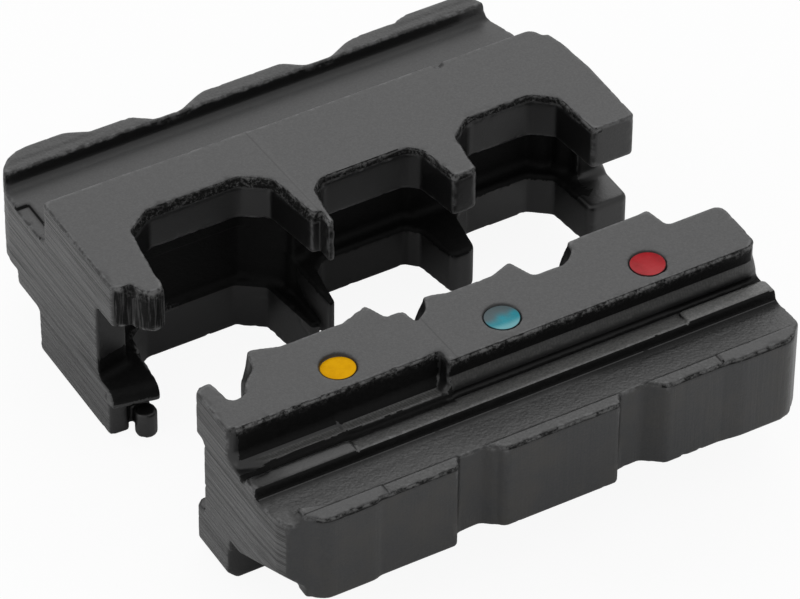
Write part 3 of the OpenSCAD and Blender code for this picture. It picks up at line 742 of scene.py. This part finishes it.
class Shader:
    """A Principled material under construction, with short calls for its nodes."""

    def __init__(self, name):
        self.material = bpy.data.materials.new(name)
        self.material.use_nodes = True
        self.tree = self.material.node_tree
        self.surface = self.tree.nodes["Principled BSDF"]
        coordinates = self.tree.nodes.new("ShaderNodeTexCoord")
        self.place = self.vector("MULTIPLY", coordinates.outputs["Object"], (1 / MM,) * 3)
        split = self.tree.nodes.new("ShaderNodeSeparateXYZ")
        self.tree.links.new(split.inputs[0], self.place)
        self.x, self.y, self.z = split.outputs
        split = self.tree.nodes.new("ShaderNodeSeparateXYZ")
        self.tree.links.new(split.inputs[0], coordinates.outputs["Normal"])
        self.nx, self.ny, self.nz = split.outputs

    def put(self, socket, value):
        """Links a socket, or sets it to a number, vector or colour."""
        if isinstance(value, bpy.types.NodeSocket):
            self.tree.links.new(socket, value)
        else:
            socket.default_value = value

    def node(self, kind, settings, **inputs):
        """New node with its settings and inputs."""
        node = self.tree.nodes.new("ShaderNode" + kind)
        for key, value in settings.items():
            setattr(node, key, value)
        for key, value in inputs.items():
            self.put(node.inputs[key.replace("_", " ")], value)
        return node

    def vector(self, operation, a, b):
        node = self.node("VectorMath", {"operation": operation})
        self.put(node.inputs[0], a)
        self.put(node.inputs[1], b)
        return node.outputs[0]

    def math(self, operation, a, b=0.0, c=0.0):
        node = self.node("Math", {"operation": operation})
        for socket, value in zip(node.inputs, (a, b, c)):
            self.put(socket, value)
        return node.outputs[0]

    def times(self, a, b):
        return self.math("MULTIPLY", a, b)

    def mix(self, share, a, b):
        """Number between a and b."""
        return self.math("MULTIPLY_ADD", share, self.math("SUBTRACT", b, a), a)

    def blend(self, share, a, b):
        """Colour between a and b."""
        node = self.node("Mix", {"data_type": "RGBA"})
        self.put(node.inputs[0], share)
        self.put(node.inputs[6], a)
        self.put(node.inputs[7], b)
        return node.outputs[2]

    def layers(self, base, *layers):
        """Colour under layers that each have a share and a colour."""
        for share, color in layers:
            base = self.blend(share, base, color)
        return base

    def attribute(self, name):
        """Share that the points of the mesh carry: of a finish, of painted light or of painted shade."""
        return self.node("Attribute", {"attribute_name": name}).outputs["Fac"]

    def noise(self, scale, detail=2.0, roughness=0.5, stretch=(1, 1, 1)):
        """Noise from about 0 to 1 with lumps of 1 / scale millimetres."""
        place = self.vector("MULTIPLY", self.place, tuple(float(s) for s in stretch))
        return self.node("TexNoise", {}, Vector=place, Scale=scale, Detail=detail,
                         Roughness=roughness).outputs["Fac"]

    def ramp(self, value, low, high):
        """Share that rises smoothly from 0 at low to 1 at high."""
        node = self.node("MapRange", {"interpolation_type": "SMOOTHSTEP"}, Value=value)
        node.inputs["From Min"].default_value = low
        node.inputs["From Max"].default_value = high
        return node.outputs["Result"]

    def line(self, value, place, inner, outer):
        """Share of a fine line at a place, full up to inner and gone beyond outer."""
        gap = self.math("ABSOLUTE", self.math("SUBTRACT", value, place))
        return self.math("SUBTRACT", 1.0, self.ramp(gap, inner, outer))

    def bump(self, height, distance, strength=1.0, normal=None):
        node = self.node("Bump", {}, Height=height, Distance=distance * MM, Strength=strength)
        if normal is not None:
            self.put(node.inputs["Normal"], normal)
        return node.outputs["Normal"]

    def finish(self, color, roughness, specular, normal):
        """Sets up the surface and returns its material."""
        for key, value in (("Base Color", color), ("Roughness", roughness), ("Normal", normal)):
            self.put(self.surface.inputs[key], value)
        self.surface.inputs["Specular IOR Level"].default_value = specular
        return self.material


def grey(value):
    """Neutral colour."""
    return (value, value, value, 1)


def witness_lines(s):
    """Share of the fine lines beside and between the pads of the indenter die's foot."""
    along = s.line(s.y, PAD_INNER_Y, 0.02, 0.06)
    ends = s.math("MAXIMUM", *[s.line(s.x, end, 0.02, 0.07) for end in PAD_ENDS])
    ends = s.times(ends, s.ramp(s.y, -15.9, -16.0))
    lines = s.times(s.math("MAXIMUM", along, ends), s.ramp(s.nz, 0.6, 0.85))
    return s.times(lines, s.ramp(s.z, 9.0, 9.1))


def seam_line(s, ground):
    """Share of the line where the two ground levels of a plate meet."""
    drift = s.math("MULTIPLY_ADD", s.y, 0.0395, s.math("ADD", s.x, 3.12))
    seam = s.times(s.line(drift, 0.0, 0.02, 0.07), ground)
    return s.times(seam, s.ramp(s.z, 10.9, 11.0))


def tick_marks(s, ticks):
    """Share of the dark marks that the tool left across the ridge and the band."""
    wave = s.math("MULTIPLY_ADD", s.y, 12.0, s.times(s.x, 38.0))
    wave = s.math("SINE", s.math("MULTIPLY_ADD", s.noise(0.8, 2, 0.5), 14.0, wave))
    return s.times(s.ramp(wave, -0.2, 0.8), s.times(ticks, 0.6))


def worn_edges(s, low, high):
    """Share of bare steel on edges, broken up between two levels of noise."""
    edge = s.ramp(s.attribute("edge"), 0.4, 0.9)
    return s.times(edge, s.ramp(s.noise(2.2, 4, 0.7), low, high))


def steel_color(s, share, rows, witness):
    """Colour of the oxide: each region, then lines, marks, painted light and painted shade, then worn edges
    and torn specks.
    """
    fleck = s.ramp(s.noise(7, 4, 0.75), 0.38, 0.66)
    cloud = s.ramp(s.noise(0.35, 4, 0.6), 0.3, 0.75)
    base = s.blend(cloud, (0.0025, 0.0025, 0.0027, 1), (0.0045, 0.0045, 0.0046, 1))
    satin = s.blend(fleck, (0.028, 0.028, 0.0285, 1), (0.041, 0.041, 0.0415, 1))
    warm = s.ramp(s.noise(0.5, 3, 0.6), 0.35, 0.7)
    face = s.blend(warm, (0.004, 0.0048, 0.006, 1), (0.013, 0.0115, 0.009, 1))
    face = s.blend(s.times(fleck, 0.5), face, grey(0.02))
    sawn = s.blend(s.ramp(rows, 0.3, 0.62), grey(0.004), (0.06, 0.0605, 0.0605, 1))
    deep = s.noise(1.0, 2, 0.5, (0.02, 0.05, 6.5))
    deep = s.ramp(s.math("MULTIPLY_ADD", s.ramp(s.z, 9.0, 11.0), 0.06, deep), 0.55, 0.6)
    # Painted light: a brighter flecked grey for the places that are painted lit
    bright = s.blend(fleck, (0.06, 0.06, 0.058, 1), (0.115, 0.115, 0.112, 1))
    worn = s.times(worn_edges(s, 0.42, 0.62), s.ramp(s.z, 7.5, 8.5))
    specks = s.times(s.ramp(s.noise(6.5, 3, 0.7), 0.6, 0.68), share["torn"])
    return s.layers(
        base,
        (share["ground"], satin),
        (share["cast"], s.blend(fleck, grey(0.022), grey(0.042))),
        (share["front"], face),
        (share["lined"], sawn),
        (s.times(deep, share["lined"]), grey(0.003)),
        # Painted light, then painted shade
        (share["painted_light"], bright),
        (share["painted_shade"], grey(0.004)),
        (s.times(witness, 0.9), grey(0.003)),
        (tick_marks(s, share["ticks"]), grey(0.015)),
        (s.times(worn, 0.5), (0.13, 0.13, 0.132, 1)),
        (s.times(share["torn"], 0.8), grey(0.004)),
        (s.times(specks, 0.7), grey(0.09)),
        (s.times(seam_line(s, share["ground"]), 0.6), grey(0.004)),
    )


def die_steel():
    """Black oxide on steel: ground faces, sawn ends, torn rims and cast hollows, with painted light and
    painted shade.
    """
    s = Shader("die_steel")
    share = {key: s.attribute(key) for key in FINISHES_AND_PAINTED_LIGHT if key != "striped"}
    grain = s.noise(9, 3, 0.6)
    rows = s.noise(1.0, 3, 0.7, (0.02, 0.12, 5.5))
    witness = witness_lines(s)

    # Painted shade: where the painted shade share is high, and on the witness lines, the surface turns
    # partly metallic under its near-black colour, so it reflects less and looks darker
    dull = s.math("MAXIMUM", s.ramp(share["painted_shade"], 0.35, 1.0), witness)
    s.put(s.surface.inputs["Metallic"], s.times(dull, 0.65))

    gloss = 0.36
    for key, roughness in (("ground", 0.5), ("lined", 0.42), ("cast", 0.5), ("torn", 0.5)):
        gloss = s.mix(share[key], gloss, roughness)
    gloss = s.math("ADD", gloss, s.times(s.math("SUBTRACT", grain, 0.5), 0.2))

    pebbles = s.node("TexVoronoi", {"feature": "SMOOTH_F1"}, Vector=s.place, Scale=5.5,
                     Smoothness=0.7).outputs["Distance"]
    pebbles = s.math("SUBTRACT", 1.0, pebbles)
    rough_skin = s.noise(4.5, 4, 0.65)
    streaks = s.noise(1.0, 3, 0.6, (3.0, 3.0, 0.12))
    normal = s.bump(grain, 0.02, 0.5)
    for height, distance, key, strength in ((pebbles, 0.035, "cast", 0.8), (rough_skin, 0.09, "torn", 0.9),
                                            (rows, 0.11, "lined", 1.0), (streaks, 0.03, "front", 0.8)):
        normal = s.bump(height, distance, s.times(share[key], strength), normal)
    return s.finish(steel_color(s, share, rows, witness), gloss, 0.6, normal)


def shade_and_torn_steel():
    """Near-black finish for painted shade between the flanges and on steep walls, and for the torn rims,
    where it is worn to specks.
    """
    s = Shader("shade_and_torn_steel")
    torn, striped = s.attribute("torn"), s.attribute("striped")
    skin = s.noise(4.5, 4, 0.65)
    stripes = s.noise(1.0, 4, 0.6, (9.0, 3.0, 0.45))
    patches = s.ramp(s.noise(1.1, 2, 0.5), 0.35, 0.65)
    specks = s.times(s.ramp(s.noise(5.5, 4, 0.75), 0.48, 0.64), torn)
    base = s.layers(
        grey(0.001),
        (s.ramp(skin, 0.35, 0.7), grey(0.003)),
        (s.times(s.ramp(stripes, 0.48, 0.62), striped), grey(0.04)),
        (s.times(specks, s.math("MULTIPLY_ADD", patches, 0.7, 0.3)), grey(0.08)),
        (s.times(worn_edges(s, 0.4, 0.6), s.math("MAXIMUM", torn, striped)), grey(0.13)),
    )
    normal = s.bump(skin, 0.07, s.math("MULTIPLY_ADD", torn, 0.4, 0.5))
    return s.finish(base, s.mix(skin, 0.5, 0.7), 0.15, normal)


def within(p, x, y, z):
    """Which points lie between the limits given for each axis."""
    result = np.ones(len(p), bool)
    for place, (low, high) in zip(p.T, (x, y, z)):
        result &= (place > low) & (place < high)
    return result


def shade_and_torn_faces(name, p, n):
    """Faces that get the near-black finish: painted shade in hollows and on steep walls, and most of the
    torn rims.
    """
    side, ahead, up = n[:, 0], -n[:, 1], n[:, 2]
    left = p[:, 0] < STEP_X
    if name == "nest_die":
        # Painted shade on the waist with the flange's top, the lower lip and the pocket's wall; the torn
        # rims and the nose also turn black
        lower = np.where(left, TALL_TOP - 0.22, SHORT_TOP - 0.28)
        low = np.where(left, *TORN_LOW)
        black = within(p, (-13.7, 13.8), (2.3, 8.3), (lower, UPPER_BASE - 0.02))
        black |= within(p, (-4.5, 6.1), (-FAR, 8.3), (lower, UPPER_BASE)) & (up > 0.3)
        black |= within(p, (LEFT + 0.8, 13.7), (-FAR, 7.9), (low + 0.05, FAR)) & (up < 0.75)
        black |= within(p, (-FAR, -13.2), (-FAR, 2.4), (8.4, FAR)) & (ahead > 0.3)
        black |= within(p, (-FAR, -13.2), (-FAR, 5.2), (2.6, 4.6)) & (side > -0.6)
        return black | (within(p, (-FAR, LEFT + 1), (10.8, 13.8), (8.2, 8.43)) & (up < 0.8))

    # Painted shade on the plate walls of both segments, the crest wall, the ridge, the groove and the
    # foot's front edge
    wall = within(p, ANY, (-11.8, -10.2), ANY) & (side > -0.25) & (side < 0.45) & (up < 0.94)
    black = wall & within(p, (-FAR, STEP_X + 0.1), ANY, (9.26, FAR)) & (ahead > 0.2)
    black |= wall & within(p, (STEP_X, FAR), ANY, (10.15, FAR)) & (ahead > 0.3)
    black |= within(p, ANY, (-13.45, -12.95), (8.6, FAR)) & (ahead > 0.35) & (up < 0.9)
    black |= within(p, (-FAR, STEP_X), (-11.75, -11.4), (8.8, 9.22)) & (ahead > 0.35)
    black |= within(p, ANY, (-11.88, -11.5), (8.8, 9.0))
    return black | (within(p, ANY, (-FAR, -16.6), (9.14, 9.42)) & (up < 0.75))


def give_shade_and_torn_finish(piece, name, material):
    """Gives the faces of painted shade and the torn rims of a die the second finish."""
    mesh = piece.data
    mesh.materials.append(material)
    black = shade_and_torn_faces(name, vectors(mesh.polygons, "center") / MM, vectors(mesh.polygons, "normal"))
    mesh.polygons.foreach_set("material_index", black.astype(np.int32))


def paint(name, color, dark, pale, roughness, specular):
    """Enamel with slight mottling, a painted shadow in a ring at its rim, worn patches and patches of
    painted highlight.
    """
    s = Shader(name)
    mottle = s.noise(1.6, 3, 0.6)
    base = s.layers(
        color,
        (s.times(s.ramp(mottle, 0.35, 0.7), 0.45), dark),
        # Painted highlight in the pale share, worn bare metal, and a painted shadow of the recess wall in
        # the ring at the rim
        (s.attribute("pale"), pale),
        (s.attribute("bare"), (0.085, 0.08, 0.08, 1)),
        (s.attribute("rim"), grey(0.01)),
    )
    gloss = s.math("ADD", roughness, s.times(mottle, 0.12))
    return s.finish(base, gloss, specular, s.bump(s.noise(3.0, 2, 0.5), 0.03, 0.5))


def mark_shares(color, p):
    """Shares of the painted shadow at the rim, of bare metal and of the painted highlight at points p from
    a mark's middle.
    """
    x, y = p[:, 0], p[:, 1]
    # Painted shadow in a ring at the rim of the recess
    rim = smooth((np.hypot(x, y) - 0.93) / 0.06)
    bare, pale = 0 * x, 0 * x
    # Blue: worn bare towards the back, with a painted highlight towards the front
    if color == "blue":
        spot = hill(np.hypot(x - 0.03, y - 0.05), 0.32) + hill(np.hypot(x - 0.75, y), 0.3)
        bare = 0.85 * smooth((y + 0.3) / 0.6) * np.maximum(1 - spot, 0)
        pale = smooth((-0.25 - y) / 0.5)
    # Red: a painted highlight a little in front of the middle
    if color == "red":
        pale = 0.8 * hill(np.hypot(x - 0.08, 0.8 * (y + 0.4)), 0.5)
    return {"rim": rim, "bare": bare, "pale": pale}


def make_mark(color, middle_z, rim_z, bottom_z, tilt):
    """Pool of enamel in its round recess: a fine-meshed skin that creeps up or sinks at the rim."""
    rings, spokes, gap = 18, 96, 0.02
    x0, y0 = MARKS[color]
    outer = MARK_RADIUS - gap
    points, faces = [(0.0, 0.0, middle_z)], []
    angles = 2 * math.pi * np.arange(spokes) / spokes
    for i in range(1, rings + 1):
        share = i / rings
        radius = outer * share * (1 + 0.006 * np.sin(3 * angles) * share)
        z = middle_z + (rim_z - middle_z) * share ** 3 + 0.008 * np.sin(2 * angles + 1) * share
        z = z - tilt * np.sin(angles) * share ** 2
        points += list(zip(radius * np.cos(angles), radius * np.sin(angles), z))
    points += [(px, py, bottom_z) for px, py, _ in points[-spokes:]]
    points.append((0.0, 0.0, bottom_z))
    ring = lambda i: [1 + spokes * i + j for j in range(spokes)]
    for j in range(spokes):
        k = (j + 1) % spokes
        faces.append((0, ring(0)[j], ring(0)[k]))
        for i in range(rings):
            faces.append((ring(i)[j], ring(i + 1)[j], ring(i + 1)[k], ring(i)[k]))
        faces.append((ring(rings)[j], len(points) - 1, ring(rings)[k]))
    co = np.array(points) + (x0, y0, 0)
    name = color + "_mark"
    mesh = bpy.data.meshes.new(name)
    mesh.from_pydata([tuple(p * MM) for p in co], [], faces)
    mesh.update()
    mesh.polygons.foreach_set("use_smooth", np.ones(len(mesh.polygons), bool))
    give(mesh, mark_shares(color, co - (x0, y0, 0)))
    piece = add_object(name, mesh)
    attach(piece, "indenter")
    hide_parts(name)
    return piece


def camera():
    """Camera of the picture: long lens, from the front left and above."""
    azimuth, elevation, roll = (math.radians(a) for a in (-30.35, 41.6, 0.6))
    focal_pixels, pixels_per_mm, frame_pixels = 6000, 18.4, 800
    target = Vector((0.5, 0.2, 5.0)) * MM
    distance = focal_pixels / pixels_per_mm * MM
    ahead = Vector((-math.sin(azimuth) * math.cos(elevation), math.cos(azimuth) * math.cos(elevation),
                    -math.sin(elevation)))
    side = Vector((math.cos(azimuth), math.sin(azimuth), 0))
    up = side.cross(ahead)
    right = side * math.cos(roll) + up * math.sin(roll)
    up = up * math.cos(roll) - side * math.sin(roll)
    data = bpy.data.cameras.new("camera")
    data.sensor_width = 36
    data.lens = focal_pixels / frame_pixels * data.sensor_width
    data.clip_start, data.clip_end = 0.01, 10
    eye = add_object("camera", data)
    rows = Matrix((right, up, -ahead)).transposed()
    eye.matrix_world = Matrix.Translation(target - ahead * distance) @ rows.to_4x4()
    bpy.context.scene.camera = eye


def lamp(name, place, size, radiance):
    """Square soft box at a place, in metres, aimed at the middle of the set."""
    data = bpy.data.lights.new(name, "AREA")
    data.size = size
    data.energy = radiance * math.pi * size * size
    aim = Vector((0, 0, 0.005)) - Vector(place)
    turn = aim.to_track_quat("-Z", "Y").to_matrix().to_4x4()
    add_object(name, data).matrix_world = Matrix.Translation(place) @ turn


def camera_share(tree, low, high):
    """Number that is high for the camera's own rays and low for all other light."""
    path = tree.nodes.new("ShaderNodeLightPath")
    mix = tree.nodes.new("ShaderNodeMix")
    mix.inputs[2].default_value, mix.inputs[3].default_value = low, high
    tree.links.new(mix.inputs[0], path.outputs["Is Camera Ray"])
    return mix.outputs[0]


def pale_floor():
    """Dull white floor that glows for the camera and keeps a faint shadow of the dies."""
    reach, glow_share = 3.0, 0.92
    mesh = bpy.data.meshes.new("floor")
    mesh.from_pydata([(-reach, -reach, 0), (reach, -reach, 0), (reach, reach, 0), (-reach, reach, 0)],
                     [], [(0, 1, 2, 3)])
    floor = add_object("floor", mesh)
    material = bpy.data.materials.new("pale_floor")
    material.use_nodes = True
    tree = material.node_tree
    dull = tree.nodes["Principled BSDF"]
    dull.inputs["Base Color"].default_value = grey(0.9)
    dull.inputs["Roughness"].default_value = 0.9
    dull.inputs["Specular IOR Level"].default_value = 0.1
    glow = tree.nodes.new("ShaderNodeEmission")
    glow.inputs["Strength"].default_value = 1.0
    blend = tree.nodes.new("ShaderNodeMixShader")
    tree.links.new(blend.inputs[0], camera_share(tree, 0.0, glow_share))
    tree.links.new(blend.inputs[1], dull.outputs[0])
    tree.links.new(blend.inputs[2], glow.outputs[0])
    tree.links.new(tree.nodes["Material Output"].inputs["Surface"], blend.outputs[0])
    mesh.materials.append(material)


def studio():
    """White surroundings, soft boxes and the floor."""
    scene = bpy.context.scene
    scene.view_settings.view_transform = "Standard"
    scene.world = bpy.data.worlds.new("studio")
    scene.world.use_nodes = True
    tree = scene.world.node_tree
    background = tree.nodes["Background"]
    background.inputs["Color"].default_value = (1, 1, 1, 1)
    tree.links.new(background.inputs["Strength"], camera_share(tree, 0.75, 1.0))
    lamp("box_back", (0.25, 0.42, 0.42), 0.5, 1.3)
    lamp("box_left", (-0.45, 0.1, 0.25), 0.3, 0.8)
    pale_floor()


steel = die_steel()
nest = make_die("nest_die", "nest", (LEFT, 1.0, 0), (RIGHT, PAD_FACE, HEIGHT), nest_die_field)
punch = make_die("indenter_die", "indenter", (LEFT, -PAD_FACE, 0), (RIGHT, -5.25, HEIGHT),
                 indenter_die_field)
# Second, near-black finish for painted shade and torn rims
black = shade_and_torn_steel()
for die, name in ((nest, "nest_die"), (punch, "indenter_die")):
    die.data.materials.append(steel)
    give_shade_and_torn_finish(die, name, black)

# Depth of each mark's middle and rim under the plate, its tilt, its colours (the last of them for its
# painted highlight), roughness and shine
ENAMEL = {
    "yellow": (0.09, 0.14, 0.09, (0.72, 0.365, 0.001, 1), (0.55, 0.25, 0.001, 1),
               (0.8, 0.45, 0.01, 1), 0.6, 0.03),
    "blue": (0.17, 0.07, 0.03, (0.012, 0.24, 0.3, 1), (0.01, 0.13, 0.17, 1),
             (0.13, 0.36, 0.4, 1), 0.3, 0.12),
    "red": (0.15, 0.06, 0.03, (0.36, 0.004, 0.01, 1), (0.2, 0.002, 0.005, 1),
            (0.4, 0.02, 0.026, 1), 0.25, 0.1),
}
for color, (middle, rim, tilt, bright, dark, pale, roughness, shine) in ENAMEL.items():
    mark = make_mark(color, HEIGHT - middle, HEIGHT - rim, HEIGHT - MARK_DEPTH, tilt)
    mark.data.materials.append(paint(color + "_paint", bright, dark, pale, roughness, shine))

camera()
studio()
